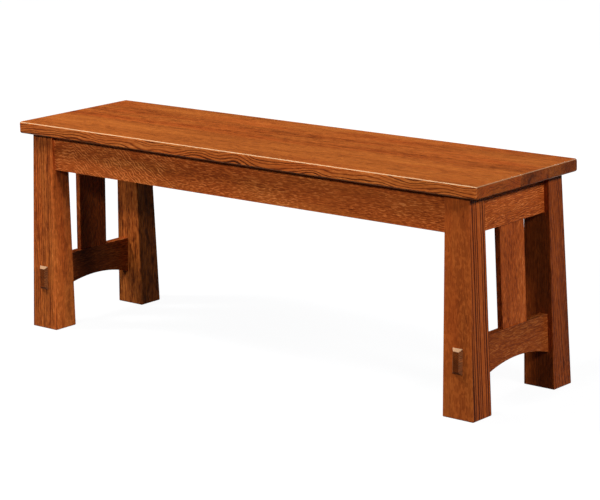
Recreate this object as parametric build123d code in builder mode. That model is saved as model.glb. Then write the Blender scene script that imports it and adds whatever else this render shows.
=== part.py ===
"""Backless mission bench: a slab seat on four tapered legs, with a leaning slatted frame at each end.

Millimetres, +Z up. The origin is on the floor under the middle of the seat, +X runs along the seat
and -Y is the front. Left is -X and right is +X.
"""

import os
from math import atan, cos, degrees, sin, sqrt, tan

from build123d import *

# Slab seat, glued up from three boards
seat_length = 1231.9
seat_depth = 330.2
seat_height = 457.2
seat_thickness = 25.4
seat_edge_radius = 4.5
seat_lower_bevel = 2.5
front_board_width = 139.0
middle_board_width = 94.0

# Legs: inner faces plumb, outer faces sloping out to the foot, which ends just behind the slab's front edge
leg_top_length = 58.0
leg_top_depth = 46.0
leg_foot_length = 73.0
leg_foot_depth = 59.2
leg_end_inset = 12.55
leg_face_inset = 1.5
leg_arris_radius = 1.2
foot_bevel = 1.5

# Aprons and low rails
rail_thickness = 19.05
rail_arris_radius = 0.8
apron_height = 76.2
long_apron_setback = 5.5
end_frame_setback = 11.5
low_rail_height = 78.0
low_rail_clearance = 75.0
arch_rise = 17.5

# Slat in each end frame
slat_width = 79.4
slat_thickness = 12.7
slat_tongue_length = 9.5
slat_tongue_shoulder = 6.0

# Hidden mortise and tenon joints
tenon_thickness = 9.5
tenon_lower_shoulder = 6.35
tenon_upper_shoulder = 12.7
long_tenon_length = 25.4
end_tenon_length = 28.0
joint_clearance = 0.1
mortise_end_clearance = 0.5

# Proud bevelled tenon ends on the legs
proud_tenon_width = 24.0
proud_tenon_height = 51.0
proud_tenon_socket = 8.0
proud_tenon_projection = 6.0
proud_tenon_bevel = 5.6

# Diagonal corner blocks behind the legs
block_height = 38.1
block_thickness = 25.4
block_leg_gap = 1.0
block_screw_bed = 12.0
block_edge_bevel = 1.5

# Cross bearer under the middle of the slab, housed in the long aprons
cleat_width = 31.75
cleat_height = 38.1
cleat_housing_depth = 6.35
cleat_edge_bevel = 1.5
cleat_slot_travel = 4.0
cleat_screw_inset = 30.0

# Turned wooden buttons that hold the slab to the long aprons
button_length = 38.0
button_width = 25.4
button_height = 19.05
button_tongue_length = 9.0
button_tongue_height = 8.0
button_lip = 7.0
button_slot_side_clearance = 3.0
button_place_share = 0.5

# Wood screws
screw_shank_radius = 2.0
screw_head_radius = 4.2
screw_head_height = 2.6
screw_recess_width = 2.6
screw_recess_depth = 1.6
block_screw_length = 25.4
button_screw_length = 31.75
seat_screw_length = 50.8
screw_hole_clearance = 0.4
screw_head_clearance = 0.8
pilot_clearance = 0.05
pilot_end_clearance = 1.0
cut_overrun = 20.0

# Places worked out from the sizes above
leg_height = seat_height - seat_thickness
leg_inner_x = seat_length / 2 - leg_end_inset - leg_foot_length
leg_inner_y = seat_depth / 2 - leg_face_inset - leg_foot_depth
end_lean = atan((leg_foot_length - leg_top_length) / leg_height)
face_lean = atan((leg_foot_depth - leg_top_depth) / leg_height)
apron_bottom = leg_height - apron_height
apron_face_y = leg_inner_y + leg_top_depth - long_apron_setback
apron_inner_y = apron_face_y - rail_thickness
long_tenon_y = apron_face_y - rail_thickness / 2
low_rail_top = low_rail_clearance + low_rail_height
cleat_screw_y = apron_inner_y - cleat_screw_inset

sides = (("left", -1), ("right", 1))
faces = (("front", -1), ("back", 1))


def save(piece, name):
    """Label a finished piece and write it to its own file."""
    piece.part.label = name
    export_step(piece.part, f"parts/{name}.step")


def leg_end_plane(side_x):
    """Sloping outer end face of the two legs on one side, local Y up the slope."""
    return Plane(
        origin=(side_x * (leg_inner_x + leg_top_length), 0, leg_height),
        x_dir=(0, side_x, 0),
        z_dir=(side_x * cos(end_lean), 0, sin(end_lean)),
    )


def leg_face_plane(side_y):
    """Sloping front face of the front legs, or back face of the back legs, local Y up the slope."""
    return Plane(
        origin=(0, side_y * (leg_inner_y + leg_top_depth), leg_height),
        x_dir=(-side_y, 0, 0),
        z_dir=(0, side_y * cos(face_lean), sin(face_lean)),
    )


def end_plane(side_x):
    """Outer face of one end frame, parallel to the legs' sloping end faces."""
    return leg_end_plane(side_x).offset(-end_frame_setback)


def up_slope(height):
    """Place up an end frame's sloping outer face of a height above the floor."""
    return (height - end_plane(1).origin.Z) / cos(end_lean)


def end_face_x(height, depth=0):
    """Distance from the bench's middle to an end frame's face, a depth in from its outer face."""
    face = end_plane(1).offset(-depth)
    return face.origin.X + (face.origin.Z - height) * tan(end_lean)


low_rail_low = up_slope(low_rail_clearance)
low_rail_high = up_slope(low_rail_top)
end_apron_low = up_slope(apron_bottom)
end_apron_high = up_slope(leg_height)
low_tenon_span = (low_rail_low + tenon_lower_shoulder, low_rail_high - tenon_upper_shoulder)
end_tenon_span = (end_apron_low + tenon_lower_shoulder, end_apron_high - tenon_upper_shoulder)
long_tenon_span = (apron_bottom + tenon_lower_shoulder, leg_height - tenon_upper_shoulder)

# Proud tenons sit in the middle of the leg's face, level with the middle of the low rail
proud_tenon_z = low_rail_clearance + low_rail_height / 2
leg_outer_x = leg_inner_x + leg_top_length + (leg_height - proud_tenon_z) * tan(end_lean)
proud_tenon_x = (leg_inner_x + leg_outer_x) / 2

# Corner blocks run at 45 degrees, just clear of the legs' inner corners
block_outer_sum = leg_inner_x + leg_inner_y - block_leg_gap * sqrt(2)
block_inner_sum = block_outer_sum - block_thickness * sqrt(2)
block_middle_sum = (block_outer_sum + block_inner_sum) / 2
block_end_x = end_face_x(leg_height - block_height / 2, rail_thickness)
block_screw_z = leg_height - block_height / 2

# The slab's edges and seams from front to back
seam_y = [
    -seat_depth / 2,
    -seat_depth / 2 + front_board_width,
    -seat_depth / 2 + front_board_width + middle_board_width,
    seat_depth / 2,
]
button_x = leg_inner_x * button_place_share
button_screw_y = apron_inner_y - button_length / 2


def proud_tenon_plane(side_x, side_y):
    """Leg's sloping front or back face, with its origin where the proud tenon stands."""
    face_y = leg_inner_y + leg_top_depth + (leg_height - proud_tenon_z) * tan(face_lean)
    return leg_face_plane(side_y).shift_origin((side_x * proud_tenon_x, side_y * face_y, proud_tenon_z))


def block_screw_planes(side_x, side_y):
    """Head seats of one block's two screws: one into the long apron, one into the end apron."""
    into_long = Plane(
        origin=(
            side_x * (block_middle_sum - apron_inner_y),
            side_y * (apron_inner_y - block_screw_bed),
            block_screw_z,
        ),
        x_dir=(1, 0, 0),
        z_dir=(0, -side_y, 0),
    )
    into_end = Plane(
        origin=(
            side_x * (block_end_x - block_screw_bed),
            side_y * (block_middle_sum - block_end_x),
            block_screw_z,
        ),
        x_dir=(0, 1, 0),
        z_dir=(-side_x, 0, 0),
    )
    return [into_long, into_end]


def upward_screw_plane(x, y, grip):
    """Head seat of a screw driven straight up into the slab through a grip of wood."""
    return Plane(origin=(x, y, leg_height - grip), x_dir=(1, 0, 0), z_dir=(0, 0, -1))


cleat_screw_planes = [upward_screw_plane(0, y, cleat_height) for y in (-cleat_screw_y, 0, cleat_screw_y)]
button_screw_planes = [
    upward_screw_plane(side_x * button_x, side_y * button_screw_y, button_height)
    for _, side_x in sides
    for _, side_y in faces
]


def drill_pilots(planes, length):
    """Cut the screws' own pilot holes in the piece being built."""
    with Locations(*planes):
        Hole(radius=screw_shank_radius + pilot_clearance, depth=length + pilot_end_clearance)


def drill_clearance_holes(planes, length):
    """Cut holes that the screws' shanks pass freely in the piece being built."""
    with Locations(*planes):
        Hole(radius=screw_shank_radius + screw_hole_clearance, depth=length)


def add_screw(plane, length):
    """Add a pan head screw with a square recess, its head on the plane and its shank along -Z."""
    with BuildSketch(plane) as shank:
        Circle(screw_shank_radius)
    extrude(shank.sketch, amount=-length)
    with BuildSketch(plane) as head:
        Circle(screw_head_radius)
    extrude(head.sketch, amount=screw_head_height)
    with BuildSketch(plane.offset(screw_head_height)) as recess:
        Rectangle(screw_recess_width, screw_recess_width)
    extrude(recess.sketch, amount=-screw_recess_depth, mode=Mode.SUBTRACT)


def cut_end_mortise(side_x, side_y, span):
    """Cut one leaning mortise in the leg's plumb inner face, for an end apron or a low rail."""
    grown_length = end_tenon_length + mortise_end_clearance
    tenon_face = end_plane(side_x).offset(joint_clearance - (rail_thickness - tenon_thickness) / 2)
    with BuildSketch(tenon_face) as mouth:
        with Locations((side_x * side_y * (leg_inner_y + grown_length / 2), (span[0] + span[1]) / 2)):
            Rectangle(grown_length, span[1] - span[0] + 2 * joint_clearance)
    extrude(mouth.sketch, amount=-(tenon_thickness + 2 * joint_clearance), mode=Mode.SUBTRACT)


def add_end_tenons(side_x, span):
    """Add a tenon at each end of an end apron or low rail."""
    middle_x = leg_inner_y + end_tenon_length / 2
    with BuildSketch(end_plane(side_x).offset(-(rail_thickness - tenon_thickness) / 2)) as tenons:
        with Locations((-middle_x, (span[0] + span[1]) / 2), (middle_x, (span[0] + span[1]) / 2)):
            Rectangle(end_tenon_length, span[1] - span[0])
    extrude(tenons.sketch, amount=-tenon_thickness)


def cut_slat_mortise(side_x, edge, inward):
    """Cut the slat's tongue mortise in a rail's edge; inward is +1 up into the rail or -1 down."""
    depth = slat_tongue_length + mortise_end_clearance
    slat_face = end_plane(side_x).offset(joint_clearance - (rail_thickness - slat_thickness) / 2)
    with BuildSketch(slat_face) as mouth:
        with Locations((0, edge + inward * depth / 2)):
            Rectangle(slat_width - 2 * slat_tongue_shoulder + 2 * joint_clearance, depth)
    extrude(mouth.sketch, amount=-(slat_thickness + 2 * joint_clearance), mode=Mode.SUBTRACT)


def build_leg(side_x, side_y):
    """Leg sawn to its two tapers from a squared blank, with its four mortises."""
    blank_length = leg_foot_length + cut_overrun
    blank_depth = leg_foot_depth + cut_overrun
    with BuildPart() as leg:
        with BuildSketch(Plane.XY):
            with Locations((side_x * (leg_inner_x + blank_length / 2), side_y * (leg_inner_y + blank_depth / 2))):
                Rectangle(blank_length, blank_depth)
        extrude(amount=leg_height)
        split(bisect_by=leg_end_plane(side_x), keep=Keep.BOTTOM)
        split(bisect_by=leg_face_plane(side_y), keep=Keep.BOTTOM)
        chamfer(leg.faces().sort_by(Axis.Z)[0].edges(), length=foot_bevel)
        fillet(leg.edges().sort_by(SortBy.LENGTH)[-4:], radius=leg_arris_radius)
        low, high = long_tenon_span
        with BuildSketch(Plane.YZ.offset(side_x * leg_inner_x)):
            with Locations((side_y * long_tenon_y, (low + high) / 2)):
                Rectangle(tenon_thickness + 2 * joint_clearance, high - low + 2 * joint_clearance)
        extrude(amount=side_x * (long_tenon_length + mortise_end_clearance), mode=Mode.SUBTRACT)
        cut_end_mortise(side_x, side_y, end_tenon_span)
        cut_end_mortise(side_x, side_y, low_tenon_span)
        with BuildSketch(proud_tenon_plane(side_x, side_y).offset(cut_overrun)):
            Rectangle(proud_tenon_width + 2 * joint_clearance, proud_tenon_height + 2 * joint_clearance)
        extrude(amount=-(cut_overrun + proud_tenon_socket), mode=Mode.SUBTRACT)
    return leg


def build_proud_tenon(side_x, side_y):
    """Proud tenon end with a broad bevel round its face, glued in the leg's socket."""
    leg_face = proud_tenon_plane(side_x, side_y)
    with BuildPart() as tenon:
        with BuildSketch(leg_face.offset(-proud_tenon_socket)):
            Rectangle(proud_tenon_width, proud_tenon_height)
        extrude(amount=proud_tenon_socket + proud_tenon_projection)
        end_face = tenon.faces().sort_by(Axis(leg_face.origin, leg_face.z_dir))[-1]
        chamfer(end_face.edges(), length=proud_tenon_bevel)
    return tenon


def build_long_apron(side_y):
    """Front or back apron: tenons, cleat housing, button slots and pilot holes on its inner side."""
    with BuildPart() as apron:
        with BuildSketch(Plane.XZ.offset(-side_y * apron_face_y)):
            with Locations((0, leg_height - apron_height / 2)):
                Rectangle(2 * leg_inner_x, apron_height)
        extrude(amount=side_y * rail_thickness)
        fillet(apron.edges().filter_by(Axis.X).group_by(Axis.Z)[0], radius=rail_arris_radius)
        low, high = long_tenon_span
        with BuildSketch(Plane.XZ.offset(-side_y * (long_tenon_y + tenon_thickness / 2))):
            middle_x = leg_inner_x + long_tenon_length / 2
            with Locations((-middle_x, (low + high) / 2), (middle_x, (low + high) / 2)):
                Rectangle(long_tenon_length, high - low)
        extrude(amount=side_y * tenon_thickness)
        inner_face = Plane.XZ.offset(-side_y * apron_inner_y)
        with BuildSketch(inner_face):
            with Locations((0, leg_height - cleat_height / 2)):
                Rectangle(cleat_width + 2 * joint_clearance, cleat_height + 2 * joint_clearance)
        extrude(amount=-side_y * (cleat_housing_depth + joint_clearance), mode=Mode.SUBTRACT)
        slot_middle = leg_height - button_lip - button_tongue_height / 2
        with BuildSketch(inner_face):
            with Locations((-button_x, slot_middle), (button_x, slot_middle)):
                Rectangle(
                    button_width + 2 * button_slot_side_clearance,
                    button_tongue_height + 2 * joint_clearance,
                )
        extrude(amount=-side_y * (button_tongue_length + mortise_end_clearance), mode=Mode.SUBTRACT)
        drill_pilots([block_screw_planes(side_x, side_y)[0] for _, side_x in sides], block_screw_length)
    return apron


def build_end_apron(side_x):
    """End apron: leans with the legs, planed level on top, mortised below for the slat."""
    face = end_plane(side_x)
    with BuildPart() as apron:
        rough_top = end_apron_high + rail_thickness * tan(end_lean)
        with BuildSketch(face):
            with Locations((0, (end_apron_low + rough_top) / 2)):
                Rectangle(2 * leg_inner_y, rough_top - end_apron_low)
        extrude(amount=-rail_thickness)
        split(bisect_by=Plane.XY.offset(leg_height), keep=Keep.BOTTOM)
        fillet(apron.edges().filter_by(Axis.Y).sort_by(Axis.Z)[:2], radius=rail_arris_radius)
        add_end_tenons(side_x, end_tenon_span)
        cut_slat_mortise(side_x, end_apron_low, 1)
        drill_pilots([block_screw_planes(side_x, side_y)[1] for _, side_y in faces], block_screw_length)
    return apron


def build_low_rail(side_x):
    """Low end rail with its arched lower edge, mortised on top for the slat."""
    with BuildPart() as rail:
        with BuildSketch(end_plane(side_x)):
            with BuildLine():
                Polyline(
                    (-leg_inner_y, low_rail_low),
                    (-leg_inner_y, low_rail_high),
                    (leg_inner_y, low_rail_high),
                    (leg_inner_y, low_rail_low),
                )
                ThreePointArc(
                    (leg_inner_y, low_rail_low),
                    (0, low_rail_low + arch_rise),
                    (-leg_inner_y, low_rail_low),
                )
            make_face()
        extrude(amount=-rail_thickness)
        chamfer(rail.edges().filter_by(GeomType.CIRCLE), length=rail_arris_radius)
        fillet(rail.edges().filter_by(Axis.Y).sort_by(Axis.Z)[-2:], radius=rail_arris_radius)
        add_end_tenons(side_x, low_tenon_span)
        cut_slat_mortise(side_x, low_rail_high, -1)
    return rail


def build_slat(side_x):
    """Broad slat between the low rail and the end apron, with a shouldered tongue at each end."""
    slat_low = low_rail_high
    slat_high = end_apron_low
    slat_middle = (slat_low + slat_high) / 2
    with BuildPart() as slat:
        slat_face = end_plane(side_x).offset(-(rail_thickness - slat_thickness) / 2)
        with BuildSketch(slat_face):
            with Locations((0, slat_middle)):
                Rectangle(slat_width, slat_high - slat_low)
        extrude(amount=-slat_thickness)
        fillet(slat.edges().sort_by(SortBy.LENGTH)[-4:], radius=rail_arris_radius)
        with BuildSketch(slat_face):
            with Locations((0, slat_middle)):
                Rectangle(
                    slat_width - 2 * slat_tongue_shoulder,
                    slat_high - slat_low + 2 * slat_tongue_length,
                )
        extrude(amount=-slat_thickness)
    return slat


def build_slab():
    """Whole slab as planed and rounded after gluing, before its pilot holes."""
    with BuildPart() as slab:
        with BuildSketch(Plane.XY.offset(leg_height)):
            Rectangle(seat_length, seat_depth)
        extrude(amount=seat_thickness)
        upper_edges = slab.faces().sort_by(Axis.Z)[-1].edges()
        fillet(slab.edges().filter_by(Axis.Z) + upper_edges, radius=seat_edge_radius)
        chamfer(slab.faces().sort_by(Axis.Z)[0].edges(), length=seat_lower_bevel)
    return slab


def build_seat_board(slab, low_y, high_y):
    """One board of the slab, between two of its seams and edges."""
    with BuildPart() as board:
        add(slab.part)
        if low_y > seam_y[0]:
            split(bisect_by=Plane.XZ.offset(-low_y), keep=Keep.BOTTOM)
        if high_y < seam_y[-1]:
            split(bisect_by=Plane.XZ.offset(-high_y), keep=Keep.TOP)
        drill_pilots(cleat_screw_planes, seat_screw_length)
        drill_pilots(button_screw_planes, button_screw_length)
    return board


def build_corner_block(side_x, side_y):
    """Diagonal block that joins the two aprons behind a leg, its outer end bevelled to the leaning apron."""
    with BuildPart() as block:
        far_x = end_face_x(leg_height - block_height, rail_thickness)
        with BuildSketch(Plane.XY.offset(leg_height - block_height)):
            with BuildLine():
                Polyline(
                    (side_x * (block_outer_sum - apron_inner_y), side_y * apron_inner_y),
                    (side_x * (block_inner_sum - apron_inner_y), side_y * apron_inner_y),
                    (side_x * far_x, side_y * (block_inner_sum - far_x)),
                    (side_x * far_x, side_y * (block_outer_sum - far_x)),
                    close=True,
                )
            make_face()
        extrude(amount=block_height)
        split(bisect_by=end_plane(side_x).offset(-rail_thickness), keep=Keep.BOTTOM)
        lower_face = block.faces().sort_by(Axis.Z)[0]
        chamfer(lower_face.edges().sort_by(SortBy.LENGTH)[-2:], length=block_edge_bevel)
        screw_planes = block_screw_planes(side_x, side_y)
        for bed in screw_planes:
            with BuildSketch(bed):
                Rectangle(2 * (screw_head_radius + screw_head_clearance), block_height)
            extrude(amount=cut_overrun, mode=Mode.SUBTRACT)
        drill_clearance_holes(screw_planes, block_screw_length)
    return block


def build_cleat():
    """Cross bearer under the slab, with screw slots that let the slab swell across its width."""
    half_length = apron_inner_y + cleat_housing_depth
    with BuildPart() as cleat:
        with BuildSketch(Plane.XY.offset(leg_height - cleat_height)):
            Rectangle(cleat_width, 2 * half_length)
        extrude(amount=cleat_height)
        chamfer(cleat.edges().filter_by(Axis.Y).group_by(Axis.Z)[0], length=cleat_edge_bevel)
        with BuildSketch(Plane.XY.offset(leg_height - cleat_height)):
            with Locations(*[(0, plane.origin.Y) for plane in cleat_screw_planes]):
                slot_width = 2 * (screw_shank_radius + screw_hole_clearance)
                SlotCenterToCenter(cleat_slot_travel, slot_width, rotation=90)
        extrude(amount=cleat_height, mode=Mode.SUBTRACT)
    return cleat


def build_buttons():
    """Four rebated wooden buttons, each with its tongue in a slot of a long apron."""
    with BuildPart() as buttons:
        for _, side_x in sides:
            for _, side_y in faces:
                low_z = leg_height - button_height
                step_z = leg_height - button_lip - button_tongue_height
                tongue_y = side_y * (apron_inner_y + button_tongue_length)
                with BuildSketch(Plane.YZ.offset(side_x * button_x - button_width / 2)):
                    with BuildLine():
                        Polyline(
                            (side_y * (apron_inner_y - button_length), leg_height),
                            (side_y * apron_inner_y, leg_height),
                            (side_y * apron_inner_y, leg_height - button_lip),
                            (tongue_y, leg_height - button_lip),
                            (tongue_y, step_z),
                            (side_y * apron_inner_y, step_z),
                            (side_y * apron_inner_y, low_z),
                            (side_y * (apron_inner_y - button_length), low_z),
                            close=True,
                        )
                    make_face()
                extrude(amount=button_width)
        drill_clearance_holes(button_screw_planes, button_height)
    return buttons


def build_screws(planes, length):
    """A set of like screws, one solid on each plane."""
    with BuildPart() as screws:
        for plane in planes:
            add_screw(plane, length)
    return screws


os.makedirs("parts", exist_ok=True)

whole_slab = build_slab()
for board_name, low_y, high_y in zip(("front", "middle", "back"), seam_y, seam_y[1:]):
    save(build_seat_board(whole_slab, low_y, high_y), f"seat_board_{board_name}")

for face_name, side_y in faces:
    save(build_long_apron(side_y), f"{face_name}_apron")

for side_name, side_x in sides:
    save(build_end_apron(side_x), f"end_apron_{side_name}")
    save(build_low_rail(side_x), f"low_rail_{side_name}")
    save(build_slat(side_x), f"slat_{side_name}")
    for face_name, side_y in faces:
        corner = f"{face_name}_{side_name}"
        save(build_leg(side_x, side_y), f"leg_{corner}")
        save(build_proud_tenon(side_x, side_y), f"tenon_{corner}")
        save(build_corner_block(side_x, side_y), f"corner_block_{corner}")

save(build_cleat(), "seat_cleat")
save(build_buttons(), "seat_buttons")

all_block_screw_planes = [
    plane
    for _, side_x in sides
    for _, side_y in faces
    for plane in block_screw_planes(side_x, side_y)
]
save(build_screws(all_block_screw_planes, block_screw_length), "block_screws")
save(build_screws(cleat_screw_planes, seat_screw_length), "seat_screws")
save(build_screws(button_screw_planes, button_screw_length), "button_screws")

print("end frames lean", round(degrees(end_lean), 2), "degrees; face taper", round(degrees(face_lean), 2))
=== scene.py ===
"""Looks of a backless mission bench in quarter-sawn oak, stained warm brown under a satin coat.

Metres, +Z up. The origin is on the floor under the middle of the seat and -Y is the front.
"""

from collections import namedtuple
from math import cos, pi, radians, sin

import bpy
from mathutils import Euler, Matrix, Vector


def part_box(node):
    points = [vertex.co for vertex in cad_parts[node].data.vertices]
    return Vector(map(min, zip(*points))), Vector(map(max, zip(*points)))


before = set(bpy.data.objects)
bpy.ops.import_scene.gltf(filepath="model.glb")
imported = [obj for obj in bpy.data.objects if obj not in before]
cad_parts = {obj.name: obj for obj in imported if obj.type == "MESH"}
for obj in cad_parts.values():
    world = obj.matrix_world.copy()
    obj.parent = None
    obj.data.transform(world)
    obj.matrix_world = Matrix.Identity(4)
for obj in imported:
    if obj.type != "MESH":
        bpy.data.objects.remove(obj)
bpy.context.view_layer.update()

# Camera that matches the photograph's framing
camera_place = Vector((3.1358, -3.5782, 1.3498))
camera_azimuth = radians(40.868)
camera_elevation = radians(13.345)
camera_roll = radians(-1.366)
camera_lens_mm = 141.04

# Floor, which fades from the bench's shadow to plain white between two distances from the middle
floor_size = 60.0
floor_matt = 0.09
floor_glow = 0.94
floor_bounce = 0.025
floor_fade = (0.8, 2.6)

# Room, the point that the lamps shine at, and the flag, a black cloth behind the bench
white = (1.0, 1.0, 1.0)
room_light = (0.016, 0.034, 0.085)
lamp_aim = Vector((0, 0, 0.3))
flag_black = 0.01
flag_distance = 6.0
flag_width = 8.0
flag_height = 5.0

# Zinc plate on the screws
zinc_dark = (0.42, 0.40, 0.34)
zinc_light = (0.66, 0.64, 0.58)
zinc_mottle_cells = 700.0
zinc_mottle_detail = 3.0
zinc_smoothest = 0.25
zinc_roughness_spread = 0.25

# Oak from its open pores to its brightest ray fleck, as linear colours along the depth of stain
stain_steps = (
    (0.0, (0.085, 0.016, 0.004)),
    (0.25, (0.225, 0.043, 0.0085)),
    (0.5, (0.420, 0.092, 0.017)),
    (0.75, (0.560, 0.134, 0.025)),
    (1.0, (0.760, 0.245, 0.062)),
)
plain_stain = 0.5
# Pale colour of the rounded arrises: partly stain thinned by wear, partly a painted highlight
arris_wear_and_highlight_colour = (0.80, 0.54, 0.30)
red_tint = (1.0, 0.87, 0.80)
gold_tint = (1.0, 1.17, 1.12)

# Clear coat, and the grain that shows through it as a low relief
clear_coat_roughness = 0.28
clear_coat_level = 0.025
clear_coat_tint = (1.0, 0.55, 0.25)
pore_roughness = 0.2
relief_strength = 0.35
relief_depth = 0.0004
pore_sink = 1.0
ring_sink = 0.4
fleck_rise = 0.3

# What each piece's oak can set, with its usual value: lengths and places are in metres
oak_settings = {
    "Board Place": (0.0, 0.0, 0.0),
    "Grain Direction": (0.0, 0.0, 0.0),
    "Ring Spacing": 0.003,
    "Ring Contrast": 0.4,
    "Waviness": 0.002,
    "Streaks": 0.5,
    "Pores": 0.25,
    "Mottle": 0.0,
    "Ripple": 0.15,
    "Fleck": 0.0,
    "Fleck Slope": 0.3,
    "Fleck Spacing": 0.010,
    "Fleck Start": 0.0,
    "Fleck End": 9.0,
    "Calm": 0.0,
    "Calm Face": (0.0, 0.0, 0.0),
    "Side Lift": 0.0,
    "Gold": 0.5,
    # Arris: how strongly rounded edges take the pale colour of wear and painted highlight
    "Arris": 0.3,
    "Tone": 1.0,
}

# Noise in a board: cells to the metre along the grain and across it, then its detail and roughness
BoardNoise = namedtuple("BoardNoise", "along across detail roughness", defaults=(2.0, 0.5))
slow_ring_waves = BoardNoise(6.0, 14.0)
fine_ring_waves = BoardNoise(16.0, 70.0)
ripple_waves = BoardNoise(18.0, 45.0)
ripple_patches = BoardNoise(9.0, 26.0, 1.0)
slow_fleck_waves = BoardNoise(9.0, 16.0)
quick_fleck_waves = BoardNoise(58.0, 84.0)
fleck_gaps = BoardNoise(36.0, 60.0, 1.5)
broad_streaks = BoardNoise(2.2, 22.0, 3.0)
middling_streaks = BoardNoise(7.0, 110.0)
fine_streaks = BoardNoise(55.0, 430.0, 2.0, 0.6)
open_pores = BoardNoise(60.0, 1300.0, 2.0, 0.6)
dark_blotches = BoardNoise(26.0, 85.0, 2.0, 0.6)
gold_drift = BoardNoise(4.0, 24.0)
patchy_arris_mark = BoardNoise(22.0, 40.0, 3.0)
gloss_drift = BoardNoise(30.0, 90.0)

# A noise keeps near its middle, so a swing stretches it to fill its reach
swing_gain = 3.0

# Reach of each swing: on rings, ripples and fleck in metres, and on stain, tint and gloss in steps
fine_ring_reach = 0.0005
uneven_year_reach = 0.006
ripple_reach = 0.0035
slow_fleck_reach = 0.008
quick_fleck_reach = 0.0052
broad_streak_reach = 0.75
middling_streak_reach = 0.35
fine_streak_reach = 0.8
gold_reach = 0.5
gloss_reach = 0.08

# Year rings: soft steps over the share of a year, and how the years differ
early_wood_ends = (0.10, 0.45)
early_wood_starts = (0.88, 0.99)
uneven_year_cells = 80.0
strong_year_cells = 0.6
strong_year_step = (0.22, 0.52)
cut_end_ring_loss = 0.75

# Ripples and slanting fleck on quarter-sawn faces
usual_pith_distance = 0.2
ripple_cells_along = 85.0
ripple_cells_around = 190.0
ripple_cells_out = 520.0
ripple_detail = 1.5
ripple_step = (0.49, 0.60)
ripple_patch_step = (0.32, 0.62)
ripple_patch_share = 0.40
fleck_peak = 0.22
fleck_width = 0.5
fleck_gap_step = (0.38, 0.54)
fleck_fade_length = 0.12

# Pores crowd in the early wood, and blotches are spots that took up more stain
pore_step = (0.52, 0.68)
pore_crowding = 0.6
blotch_step = (0.48, 0.66)

# Calm faces and cut ends, told apart by how squarely the surface faces a direction
calm_face_step = (0.15, 0.55)
cut_end_step = (0.55, 0.9)
cut_end_darkening = 0.22
side_lift_redness = 2.5

# Rounded arrises, which are the surface whose largest normal component is small. Their pale colour
# is partly stain thinned by wear and partly a painted highlight, strongest on upward-facing arrises
# and weaker along cut ends
arris_step = (0.74, 0.88)
upward_step = (0.15, 0.5)
upward_highlight_share = 0.9
patchy_arris_mark_share = 0.5
patchy_arris_mark_least = 0.7
end_grain_arris_step = (0.3, 0.6)
end_grain_arris_loss = 0.5

# Numbers of a Mix node's sockets for colours
mix_colour_inputs = (6, 7)
mix_colour_output = 2

# Turns that take each way of the grain to the board's own X
along_x = (0, 0, 0)
along_y = (0, 0, radians(-90))
along_z = (0, radians(90), 0)


def opaque(colour):
    """A colour with its alpha."""
    return (*colour, 1.0)


def grey(level):
    """A neutral colour with its alpha."""
    return opaque((level, level, level))


def link(tree, value, socket):
    """Join a node's socket to an input, or set the input to a plain value."""
    if isinstance(value, bpy.types.NodeSocket):
        tree.links.new(value, socket)
    else:
        socket.default_value = value


def add_node(tree, kind, inputs=(), **settings):
    """Add a node with its settings, and its inputs by number or name."""
    made = tree.nodes.new(kind)
    for name, value in settings.items():
        setattr(made, name, value)
    for key, value in dict(inputs).items():
        link(tree, value, made.inputs[key])
    return made


def calculate(tree, operation, first, second=0.0, third=0.0):
    """One sum or function of up to three numbers."""
    inputs = {0: first, 1: second, 2: third}
    return add_node(tree, "ShaderNodeMath", inputs, operation=operation).outputs[0]


def multiply(tree, first, *others):
    """Product of several numbers."""
    for other in others:
        first = calculate(tree, "MULTIPLY", first, other)
    return first


def add_up(tree, first, *others):
    """Sum of several numbers."""
    for other in others:
        first = calculate(tree, "ADD", first, other)
    return first


def calculate_vector(tree, operation, inputs):
    """Sum or function of vectors or colours: its outputs are a vector and a number."""
    return add_node(tree, "ShaderNodeVectorMath", inputs, operation=operation).outputs


def stretch(tree, vector, scale):
    """A vector or a colour scaled apart along each axis."""
    return calculate_vector(tree, "MULTIPLY", {0: vector, 1: scale})["Vector"]


def join_axes(tree, x, y, z):
    """A vector put together from three numbers."""
    return add_node(tree, "ShaderNodeCombineXYZ", {0: x, 1: y, 2: z}).outputs[0]


def split_axes(tree, vector):
    """The three numbers of a vector."""
    return add_node(tree, "ShaderNodeSeparateXYZ", {0: vector}).outputs


def facing(tree, normal, direction):
    """How squarely the surface faces along a direction, either way, from 0 to 1."""
    turned = calculate_vector(tree, "DOT_PRODUCT", {0: normal, 1: direction})["Value"]
    return calculate(tree, "ABSOLUTE", turned)


def noise(tree, vector, detail, roughness=0.5):
    """Soft random value round 0.5, one cell for each unit of the vector."""
    inputs = {"Vector": vector, "Scale": 1.0, "Detail": detail, "Roughness": roughness}
    return add_node(tree, "ShaderNodeTexNoise", inputs).outputs[0]


def board_noise(tree, place, kind):
    """Soft random value round 0.5, in cells that run along the grain."""
    cells = stretch(tree, place, (kind.along, kind.across, kind.across))
    return noise(tree, cells, kind.detail, kind.roughness)


def swing(tree, place, kind, reach):
    """Board noise as a soft random push of up to about the reach, both ways."""
    value = board_noise(tree, place, kind)
    lowest = multiply(tree, reach, -swing_gain / 2)
    return calculate(tree, "MULTIPLY_ADD", value, multiply(tree, reach, swing_gain), lowest)


def line_noise(tree, value, cells):
    """Soft random value along one line."""
    inputs = {"W": value, "Scale": cells, "Detail": 1.0}
    return add_node(tree, "ShaderNodeTexNoise", inputs, noise_dimensions="1D").outputs[0]


def rise(tree, value, low, high):
    """Smooth step from 0 at low to 1 at high."""
    inputs = {"Value": value, "From Min": low, "From Max": high}
    return add_node(tree, "ShaderNodeMapRange", inputs, interpolation_type="SMOOTHSTEP").outputs[0]


def fall(tree, value, low, high):
    """Smooth step from 1 at low to 0 at high."""
    return calculate(tree, "SUBTRACT", 1.0, rise(tree, value, low, high))


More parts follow.
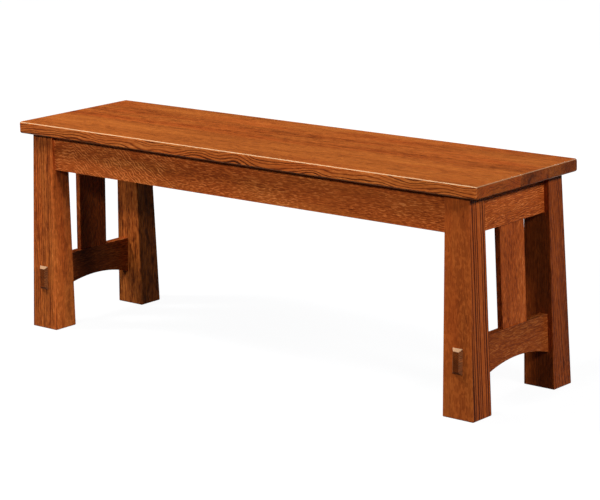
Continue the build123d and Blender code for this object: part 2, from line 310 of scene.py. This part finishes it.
def blend_colours(tree, share, first, second):
    """Mix of two colours."""
    made = add_node(tree, "ShaderNodeMix", {"Factor": share}, data_type="RGBA")
    for number, colour in zip(mix_colour_inputs, (first, second)):
        link(tree, opaque(colour) if isinstance(colour, tuple) else colour, made.inputs[number])
    return made.outputs[mix_colour_output]


def colour_steps(tree, value, steps):
    """Colour read off a scale of steps."""
    ramp = add_node(tree, "ShaderNodeValToRGB", {0: value})
    elements = ramp.color_ramp.elements
    while len(elements) < len(steps):
        elements.new(0.5)
    for element, (position, colour) in zip(elements, steps):
        element.position = position
        element.color = opaque(colour)
    return ramp.outputs[0]


def add_oak_sockets(tree):
    """The node group's inputs and outputs."""
    for name, value in oak_settings.items():
        kind = "NodeSocketVector" if isinstance(value, tuple) else "NodeSocketFloat"
        socket = tree.interface.new_socket(name=name, in_out="INPUT", socket_type=kind)
        socket.default_value = value
    for name in ("Color", "Roughness", "Height"):
        kind = "NodeSocketColor" if name == "Color" else "NodeSocketFloat"
        tree.interface.new_socket(name=name, in_out="OUTPUT", socket_type=kind)


def add_rings(tree, given, from_pith, place):
    """Dark early wood of each year's ring, with the ring's distance pushed about by slow waves."""
    slow = swing(tree, place, slow_ring_waves, given["Waviness"])
    fine = swing(tree, place, fine_ring_waves, fine_ring_reach)
    radius = add_up(tree, from_pith, slow, fine)
    year_noise = line_noise(tree, radius, uneven_year_cells)
    uneven = calculate(tree, "MULTIPLY_ADD", year_noise, uneven_year_reach, -uneven_year_reach / 2)
    years = calculate(tree, "DIVIDE", add_up(tree, radius, uneven), given["Ring Spacing"])
    part = calculate(tree, "FRACT", years)
    ending = fall(tree, part, *early_wood_ends)
    starting = rise(tree, part, *early_wood_starts)
    early = calculate(tree, "MAXIMUM", ending, starting)
    strength = rise(tree, line_noise(tree, years, strong_year_cells), *strong_year_step)
    return early, multiply(tree, early, strength)


def add_ripple(tree, given, from_pith, around_pith, length, place):
    """Short pale ripples along the grain, stronger in some patches."""
    bend = swing(tree, place, ripple_waves, ripple_reach)
    ripple_place = join_axes(
        tree,
        multiply(tree, length, ripple_cells_along),
        multiply(tree, around_pith, ripple_cells_around),
        multiply(tree, add_up(tree, from_pith, bend), ripple_cells_out),
    )
    ripple = rise(tree, noise(tree, ripple_place, ripple_detail), *ripple_step)
    patches = rise(tree, board_noise(tree, place, ripple_patches), *ripple_patch_step)
    even_share = 1.0 - ripple_patch_share
    strength = calculate(tree, "MULTIPLY_ADD", patches, ripple_patch_share, even_share)
    return multiply(tree, ripple, strength, given["Ripple"])


def add_fleck(tree, given, from_pith, length, place):
    """Ray fleck: wandering lines that slant across the grain, broken by gaps, up to Fleck End."""
    past_start = calculate(tree, "SUBTRACT", length, given["Fleck Start"])
    past_start = calculate(tree, "MAXIMUM", past_start, 0.0)
    slanted = calculate(tree, "MULTIPLY_ADD", past_start, given["Fleck Slope"], from_pith)
    slow = swing(tree, place, slow_fleck_waves, slow_fleck_reach)
    quick = swing(tree, place, quick_fleck_waves, quick_fleck_reach)
    wander = add_up(tree, slow, quick)
    lines = calculate(tree, "DIVIDE", add_up(tree, slanted, wander), given["Fleck Spacing"])
    part = calculate(tree, "FRACT", lines)
    up = rise(tree, part, 0.0, fleck_peak)
    down = fall(tree, part, fleck_peak, fleck_width)
    broken = rise(tree, board_noise(tree, place, fleck_gaps), *fleck_gap_step)
    fade_end = add_up(tree, given["Fleck End"], fleck_fade_length)
    zone = fall(tree, length, given["Fleck End"], fade_end)
    return multiply(tree, multiply(tree, up, down), broken, zone, given["Fleck"])


def add_streaks(tree, given, place):
    """Light and dark streaks along the grain, at three sizes."""
    broad = swing(tree, place, broad_streaks, broad_streak_reach)
    middling = swing(tree, place, middling_streaks, middling_streak_reach)
    fine = swing(tree, place, fine_streaks, fine_streak_reach)
    return multiply(tree, add_up(tree, broad, middling, fine), given["Streaks"])


def add_pores(tree, early, place):
    """Open pores, crowded in the early wood."""
    crowding = calculate(tree, "MULTIPLY_ADD", early, pore_crowding, 1.0 - pore_crowding)
    pores = rise(tree, board_noise(tree, place, open_pores), *pore_step)
    return multiply(tree, pores, crowding)


def add_arris_wear_and_highlight(tree, given, normal, end_facing, place):
    """Rounded arrises, paler where sanding and use have thinned the stain, and with a painted
    highlight that is strongest on upward-facing arrises.
    """
    turned = split_axes(tree, calculate_vector(tree, "ABSOLUTE", {0: normal})["Vector"])
    flattest = calculate(tree, "MAXIMUM", turned[0], turned[1])
    flattest = calculate(tree, "MAXIMUM", flattest, turned[2])
    upward = rise(tree, split_axes(tree, normal)[2], *upward_step)
    least_upward = 1.0 - upward_highlight_share
    upward = calculate(tree, "MULTIPLY_ADD", upward, upward_highlight_share, least_upward)
    patchy = board_noise(tree, place, patchy_arris_mark)
    patchy = calculate(tree, "MULTIPLY_ADD", patchy, patchy_arris_mark_share, patchy_arris_mark_least)
    end_grain_arris = rise(tree, end_facing, *end_grain_arris_step)
    off_end_grain_share = calculate(tree, "MULTIPLY_ADD", end_grain_arris, -end_grain_arris_loss, 1.0)
    rounded = fall(tree, flattest, *arris_step)
    return multiply(tree, rounded, upward, patchy, off_end_grain_share, given["Arris"])


def make_oak_figure():
    """Node group that turns a place in a board into stained oak's colour, gloss and relief."""
    tree = bpy.data.node_groups.new("stained_oak_figure", "ShaderNodeTree")
    add_oak_sockets(tree)
    given = tree.nodes.new("NodeGroupInput").outputs
    normal = add_node(tree, "ShaderNodeNewGeometry").outputs["Normal"]
    place = given["Board Place"]
    length, width, depth = split_axes(tree, place)
    squares = calculate(tree, "MULTIPLY_ADD", width, width, multiply(tree, depth, depth))
    from_pith = calculate(tree, "SQRT", squares)
    angle = calculate(tree, "ARCTAN2", depth, width)
    around_pith = multiply(tree, angle, usual_pith_distance)

    # Rings are calm on one face, and the others can be paler
    on_calm_face = rise(tree, facing(tree, normal, given["Calm Face"]), *calm_face_step)
    ring_share = calculate(tree, "SUBTRACT", 1.0, multiply(tree, on_calm_face, given["Calm"]))
    lift = multiply(tree, calculate(tree, "SUBTRACT", 1.0, on_calm_face), given["Side Lift"])

    # Cut ends drink more stain, and show less ring and no fleck
    end_facing = facing(tree, normal, given["Grain Direction"])
    cut_end = rise(tree, end_facing, *cut_end_step)
    long_face = calculate(tree, "SUBTRACT", 1.0, cut_end)
    end_ring_share = calculate(tree, "MULTIPLY_ADD", cut_end, -cut_end_ring_loss, 1.0)

    early, rings = add_rings(tree, given, from_pith, place)
    ripple = add_ripple(tree, given, from_pith, around_pith, length, place)
    fleck = add_fleck(tree, given, from_pith, length, place)
    pores = add_pores(tree, early, place)
    blotches = rise(tree, board_noise(tree, place, dark_blotches), *blotch_step)

    # Depth of stain, 0 darkest to 1 palest
    stain = add_up(
        tree,
        plain_stain,
        lift,
        add_streaks(tree, given, place),
        multiply(tree, rings, given["Ring Contrast"], ring_share, end_ring_share, -1.0),
        multiply(tree, pores, given["Pores"], -1.0),
        multiply(tree, blotches, given["Mottle"], -1.0),
        multiply(tree, add_up(tree, ripple, fleck), long_face),
        multiply(tree, cut_end, -cut_end_darkening),
    )
    gold = add_up(
        tree,
        given["Gold"],
        multiply(tree, lift, -side_lift_redness),
        swing(tree, place, gold_drift, gold_reach),
    )
    tint = blend_colours(tree, rise(tree, gold, 0.0, 1.0), red_tint, gold_tint)
    stained = stretch(tree, colour_steps(tree, stain, stain_steps), tint)
    # Pale arrises: partly stain thinned by wear, partly a painted highlight
    arris_wear_and_highlight = add_arris_wear_and_highlight(tree, given, normal, end_facing, place)
    colour = blend_colours(tree, arris_wear_and_highlight, stained, arris_wear_and_highlight_colour)
    toned = calculate_vector(tree, "SCALE", {0: colour, "Scale": given["Tone"]})["Vector"]

    gloss = add_up(tree, swing(tree, place, gloss_drift, gloss_reach), clear_coat_roughness)
    roughness = calculate(tree, "MULTIPLY_ADD", pores, pore_roughness, gloss)
    height = add_up(
        tree,
        multiply(tree, pores, -pore_sink),
        multiply(tree, rings, -ring_sink),
        multiply(tree, fleck, fleck_rise),
    )
    result = tree.nodes.new("NodeGroupOutput")
    for name, value in (("Color", toned), ("Roughness", roughness), ("Height", height)):
        link(tree, value, result.inputs[name])
    return tree


oak_figure = make_oak_figure()


def make_material(name):
    """Material with an empty node tree."""
    material = bpy.data.materials.new(name)
    material.use_nodes = True
    material.node_tree.nodes.clear()
    return material, material.node_tree


def show_surface(tree, kind, inputs, output="ShaderNodeOutputMaterial"):
    """Shader that a material or the world shows."""
    shader = add_node(tree, kind, inputs)
    add_node(tree, output, {"Surface": shader.outputs[0]})


def make_oak(name, middle, grain, pith, slide, **looks):
    """Oak for one piece.

    Grain is the turn to the board's own X, and pith its place from the piece's middle. Slide moves
    the piece along the tree. Looks are oak settings.
    """
    material, tree = make_material(name)
    turn = Euler(grain)
    matrix = turn.to_matrix()
    direction = matrix.inverted() @ Vector((1, 0, 0))
    start = Vector(middle) + Vector(pith) - direction * slide
    place = add_node(tree, "ShaderNodeTexCoord").outputs["Object"]
    inputs = {"Vector": place, "Location": -(matrix @ start), "Rotation": turn}
    board = add_node(tree, "ShaderNodeMapping", inputs)
    inputs = {"Board Place": board.outputs[0], "Grain Direction": direction}
    inputs.update({key.replace("_", " ").title(): value for key, value in looks.items()})
    figure = add_node(tree, "ShaderNodeGroup", node_tree=oak_figure)
    for key, value in inputs.items():
        link(tree, value, figure.inputs[key])
    inputs = {
        "Strength": relief_strength,
        "Distance": relief_depth,
        "Height": figure.outputs["Height"],
    }
    relief = add_node(tree, "ShaderNodeBump", inputs)
    inputs = {
        "Base Color": figure.outputs["Color"],
        "Roughness": figure.outputs["Roughness"],
        "Specular IOR Level": clear_coat_level,
        "Specular Tint": opaque(clear_coat_tint),
        "Normal": relief.outputs[0],
    }
    show_surface(tree, "ShaderNodeBsdfPrincipled", inputs)
    return material


def middle_of(node):
    """Middle of a node's box."""
    low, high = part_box(node)
    return (low + high) / 2


def dress(node, material):
    """Give a frame node its material."""
    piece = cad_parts[node]
    piece.data.materials.clear()
    piece.data.materials.append(material)


def dress_in_oak(node, grain, pith, slide, **looks):
    """Give a frame node its own oak."""
    dress(node, make_oak(f"{node}_oak", middle_of(node), grain, pith, slide, **looks))


def dress_seat():
    """Slab boards: calm straight grain on top, and long waves along the front edge."""
    # The slab's rounded edges get the full pale arris colour: partly wear, partly a painted
    # highlight
    common = {"arris": 1.0, "calm_face": (0, 0, 1), "pores": 0.2}
    dress_in_oak(
        "seat_board_front", along_x, pith=(0, 0.01, -0.10), slide=2.5,
        ring_spacing=0.0046, ring_contrast=0.72, waviness=0.016, calm=0.9,
        streaks=0.26, ripple=0.12, side_lift=0.20, gold=0.92, tone=0.98, **common,
    )
    dress_in_oak(
        "seat_board_middle", along_x, pith=(0, -0.26, -0.03), slide=2.1,
        ring_spacing=0.0045, ring_contrast=0.3, waviness=0.002, calm=0.75,
        streaks=0.36, ripple=0.14, mottle=0.14, gold=0.55, tone=0.95, **common,
    )
    dress_in_oak(
        "seat_board_back", along_x, pith=(0, -0.34, 0.03), slide=4.4,
        ring_spacing=0.0045, ring_contrast=0.3, waviness=0.002, calm=0.75,
        streaks=0.36, ripple=0.12, mottle=0.05, gold=0.65, tone=0.99, **common,
    )


def dress_long_aprons():
    """Long aprons, quarter sawn, with bold fleck that slants across their left ends."""
    for node, slide in (("front_apron", 0.0), ("back_apron", 3.3)):
        dress_in_oak(
            node, along_x, pith=(0, 0.012, 0.22), slide=slide,
            ring_spacing=0.0032, ring_contrast=0.15, waviness=0.002, streaks=0.24, pores=0.2,
            ripple=0.42, fleck=0.72, fleck_slope=-0.66, fleck_spacing=0.0074,
            fleck_start=-0.47 + slide, fleck_end=-0.24 + slide, gold=0.25, tone=1.05,
        )


def dress_end_frames():
    """End aprons, low rails and slats, all quarter sawn."""
    for node, slide in (("end_apron_left", 1.7), ("end_apron_right", 5.2)):
        dress_in_oak(
            node, along_y, pith=(0.010, 0, 0.20), slide=slide,
            ring_spacing=0.0030, ring_contrast=0.15, waviness=0.002, streaks=0.3, pores=0.3,
            ripple=0.30, fleck=0.46, fleck_slope=0.10, fleck_spacing=0.0044, gold=0.08, tone=1.05,
        )
    for node, slide, tone in (("low_rail_left", 2.9, 0.62), ("low_rail_right", 6.1, 0.71)):
        dress_in_oak(
            node, along_y, pith=(0.010, 0, 0.20), slide=slide,
            ring_spacing=0.0028, ring_contrast=0.18, waviness=0.002, streaks=0.34, pores=0.4,
            ripple=0.36, gold=0.12, tone=tone,
        )
    for node, slide in (("slat_left", 0.6), ("slat_right", 3.9)):
        dress_in_oak(
            node, along_z, pith=(0.006, 0.20, 0), slide=slide,
            ring_spacing=0.0028, ring_contrast=0.15, waviness=0.002, streaks=0.36, pores=0.45,
            ripple=0.34, mottle=0.1, gold=-0.05, tone=1.04,
        )


def dress_legs():
    """Legs, each from its own stick: the front right one has bold stripes on its outer end."""
    common = {"arris": 0.45, "pores": 0.25, "ripple": 0.16}
    dress_in_oak(
        "leg_front_left", along_z, pith=(-0.35, 0.03, 0), slide=0.0,
        ring_spacing=0.0042, ring_contrast=0.55, waviness=0.0016,
        streaks=0.32, mottle=0.12, gold=0.45, tone=1.42, **common,
    )
    dress_in_oak(
        "leg_front_right", along_z, pith=(0.03, 0.30, 0), slide=1.3,
        ring_spacing=0.0066, ring_contrast=2.2, waviness=0.0012, calm=1.0, calm_face=(0, 1, 0),
        streaks=0.2, mottle=0.02, side_lift=0.08, gold=0.34, tone=0.96, **common,
    )
    dress_in_oak(
        "leg_back_left", along_z, pith=(0.12, 0.12, 0), slide=2.6,
        ring_spacing=0.0042, ring_contrast=0.2, waviness=0.003,
        streaks=0.4, mottle=0.3, gold=0.9, tone=0.98, **common,
    )
    dress_in_oak(
        "leg_back_right", along_z, pith=(-0.15, 0.07, 0), slide=3.9,
        ring_spacing=0.0024, ring_contrast=0.3, waviness=0.0025,
        streaks=0.34, mottle=0.08, gold=0.05, tone=0.74, **common,
    )


def dress_tenon_ends():
    """Proud tenon ends, each from the next length of one stick, with pale bevels that are partly
    wear and partly a painted highlight.
    """
    for number, node in enumerate(sorted(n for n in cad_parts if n.startswith("tenon_"))):
        dress_in_oak(
            node, along_y, pith=(0.02, 0, 0.03), slide=0.7 * number,
            ring_spacing=0.0030, ring_contrast=0.7, waviness=0.001, streaks=0.3, pores=0.3,
            ripple=0.05, side_lift=-0.12, arris=1.0, tone=1.02,
        )


def dress_hidden_pieces():
    """Blocks, bearer and buttons under the seat, in the same oak."""
    grains = {"seat_cleat": along_y, "seat_buttons": along_y}
    nodes = sorted(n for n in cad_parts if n.startswith("corner_block")) + list(grains)
    for number, node in enumerate(nodes):
        dress_in_oak(
            node, grains.get(node, along_x), pith=(0.09, 0.11, -0.1), slide=0.9 * number,
            ring_spacing=0.0035, ring_contrast=0.35, waviness=0.003, streaks=0.3, pores=0.3,
            ripple=0.10, tone=0.9,
        )


def make_zinc():
    """Zinc-plated steel with a faint mottle."""
    material, tree = make_material("zinc_plate")
    place = add_node(tree, "ShaderNodeTexCoord").outputs["Object"]
    cells = stretch(tree, place, (zinc_mottle_cells, zinc_mottle_cells, zinc_mottle_cells))
    mottle = noise(tree, cells, zinc_mottle_detail)
    colour = blend_colours(tree, mottle, zinc_dark, zinc_light)
    roughness = calculate(tree, "MULTIPLY_ADD", mottle, zinc_roughness_spread, zinc_smoothest)
    inputs = {"Base Color": colour, "Roughness": roughness, "Metallic": 1.0}
    show_surface(tree, "ShaderNodeBsdfPrincipled", inputs)
    return material


def dress_screws():
    """Wood screws."""
    zinc = make_zinc()
    for node in ("block_screws", "seat_screws", "button_screws"):
        dress(node, zinc)


def seen_directly(tree):
    """1 for camera rays, and for mirror and glass rays that should show the same background."""
    path = tree.nodes.new("ShaderNodeLightPath").outputs
    seen = calculate(tree, "MAXIMUM", path["Is Camera Ray"], path["Is Glossy Ray"])
    return calculate(tree, "MAXIMUM", seen, path["Is Transmission Ray"])


def stage_plane(name, material, size, place, turn):
    """Plane that is part of the stage."""
    bpy.ops.object.select_all(action="DESELECT")
    bpy.ops.mesh.primitive_plane_add(size=1.0, location=place, rotation=turn)
    plane = bpy.context.object
    plane.name = name
    plane.scale = (*size, 1.0)
    plane.data.materials.append(material)
    return plane


def make_floor():
    """Plain white floor that keeps the bench's shadow, and is clear from below."""
    material, tree = make_material("white_floor")
    geometry = add_node(tree, "ShaderNodeNewGeometry").outputs
    from_middle = calculate_vector(tree, "LENGTH", {0: geometry["Position"]})["Value"]
    far = rise(tree, from_middle, *floor_fade)
    strength = calculate(tree, "MULTIPLY_ADD", far, 1.0 - floor_glow, floor_glow)
    glow = add_node(tree, "ShaderNodeEmission", {"Color": opaque(white), "Strength": strength})
    matt = add_node(tree, "ShaderNodeBsdfDiffuse", {"Color": grey(floor_matt)})
    bright = add_node(tree, "ShaderNodeAddShader", {0: matt.outputs[0], 1: glow.outputs[0]})
    dim = add_node(tree, "ShaderNodeBsdfDiffuse", {"Color": grey(floor_bounce)})
    inputs = {0: seen_directly(tree), 1: dim.outputs[0], 2: bright.outputs[0]}
    above = add_node(tree, "ShaderNodeMixShader", inputs)
    clear = add_node(tree, "ShaderNodeBsdfTransparent")
    inputs = {0: geometry["Backfacing"], 1: above.outputs[0], 2: clear.outputs[0]}
    show_surface(tree, "ShaderNodeMixShader", inputs)
    stage_plane("floor", material, (floor_size, floor_size), (0, 0, 0), (0, 0, 0))


def make_flag():
    """Black cloth behind the bench, seen by reflections alone, that keeps glare off the slab."""
    material, tree = make_material("black_cloth")
    show_surface(tree, "ShaderNodeBsdfDiffuse", {"Color": grey(flag_black)})
    away = Vector((-sin(camera_azimuth), cos(camera_azimuth), 0)) * flag_distance
    place = away + Vector((0, 0, flag_height / 2))
    turn = (radians(90), 0, camera_azimuth)
    flag = stage_plane("flag", material, (flag_width, flag_height), place, turn)
    flag.visible_camera = False
    flag.visible_diffuse = False
    flag.visible_transmission = False
    flag.visible_shadow = False


def make_world():
    """White behind the bench, and a dim cool light from the room that fills its shadows."""
    world = bpy.data.worlds.new("studio")
    bpy.context.scene.world = world
    world.use_nodes = True
    tree = world.node_tree
    tree.nodes.clear()
    colour = blend_colours(tree, seen_directly(tree), room_light, white)
    inputs = {"Color": colour, "Strength": 1.0}
    show_surface(tree, "ShaderNodeBackground", inputs, output="ShaderNodeOutputWorld")


def add_lamp(name, toward, distance, level, width, height):
    """Soft box that lights what faces it to a level, where 1 shows a colour as it is written."""
    toward = Vector(toward).normalized()
    data = bpy.data.lights.new(name, "AREA")
    data.shape = "RECTANGLE"
    data.size = width
    data.size_y = height
    data.energy = level * pi * pi * distance**2
    lamp = bpy.data.objects.new(name, data)
    bpy.context.scene.collection.objects.link(lamp)
    lamp.location = lamp_aim + toward * distance
    lamp.rotation_mode = "QUATERNION"
    lamp.rotation_quaternion = toward.to_track_quat("Z", "Y")


def make_lights():
    """Lamps: one high on the left, one on the right, one in front and a low one behind."""
    add_lamp(
        "left_lamp", toward=(-0.55, -0.30, 0.78), distance=3.6, level=0.84, width=0.5, height=1.3
    )
    add_lamp(
        "right_lamp", toward=(0.868, -0.13, 0.477), distance=5.4, level=0.54, width=1.2, height=0.75
    )
    add_lamp(
        "front_lamp", toward=(0.42, -3.0, 1.7), distance=3.2, level=0.41, width=0.5, height=0.3
    )
    add_lamp(
        "back_lamp", toward=(-0.07, 0.95, 0.19), distance=4.0, level=0.36, width=0.6, height=0.6
    )


def make_camera():
    """Camera at the photograph's place, turned by its azimuth, elevation and roll."""
    forward = Vector(
        (
            -sin(camera_azimuth) * cos(camera_elevation),
            cos(camera_azimuth) * cos(camera_elevation),
            -sin(camera_elevation),
        )
    )
    level_right = Vector((cos(camera_azimuth), sin(camera_azimuth), 0))
    level_up = level_right.cross(forward)
    right = level_right * cos(camera_roll) + level_up * sin(camera_roll)
    up = level_up * cos(camera_roll) - level_right * sin(camera_roll)
    data = bpy.data.cameras.new("camera")
    data.lens = camera_lens_mm
    camera = bpy.data.objects.new("camera", data)
    bpy.context.scene.collection.objects.link(camera)
    turned = Matrix((right, up, -forward)).transposed().to_4x4()
    camera.matrix_world = Matrix.Translation(camera_place) @ turned
    bpy.context.scene.camera = camera


bpy.context.scene.view_settings.view_transform = "Standard"
make_camera()
make_world()
make_lights()
make_floor()
make_flag()
dress_seat()
dress_long_aprons()
dress_end_frames()
dress_legs()
dress_tenon_ends()
dress_hidden_pieces()
dress_screws()
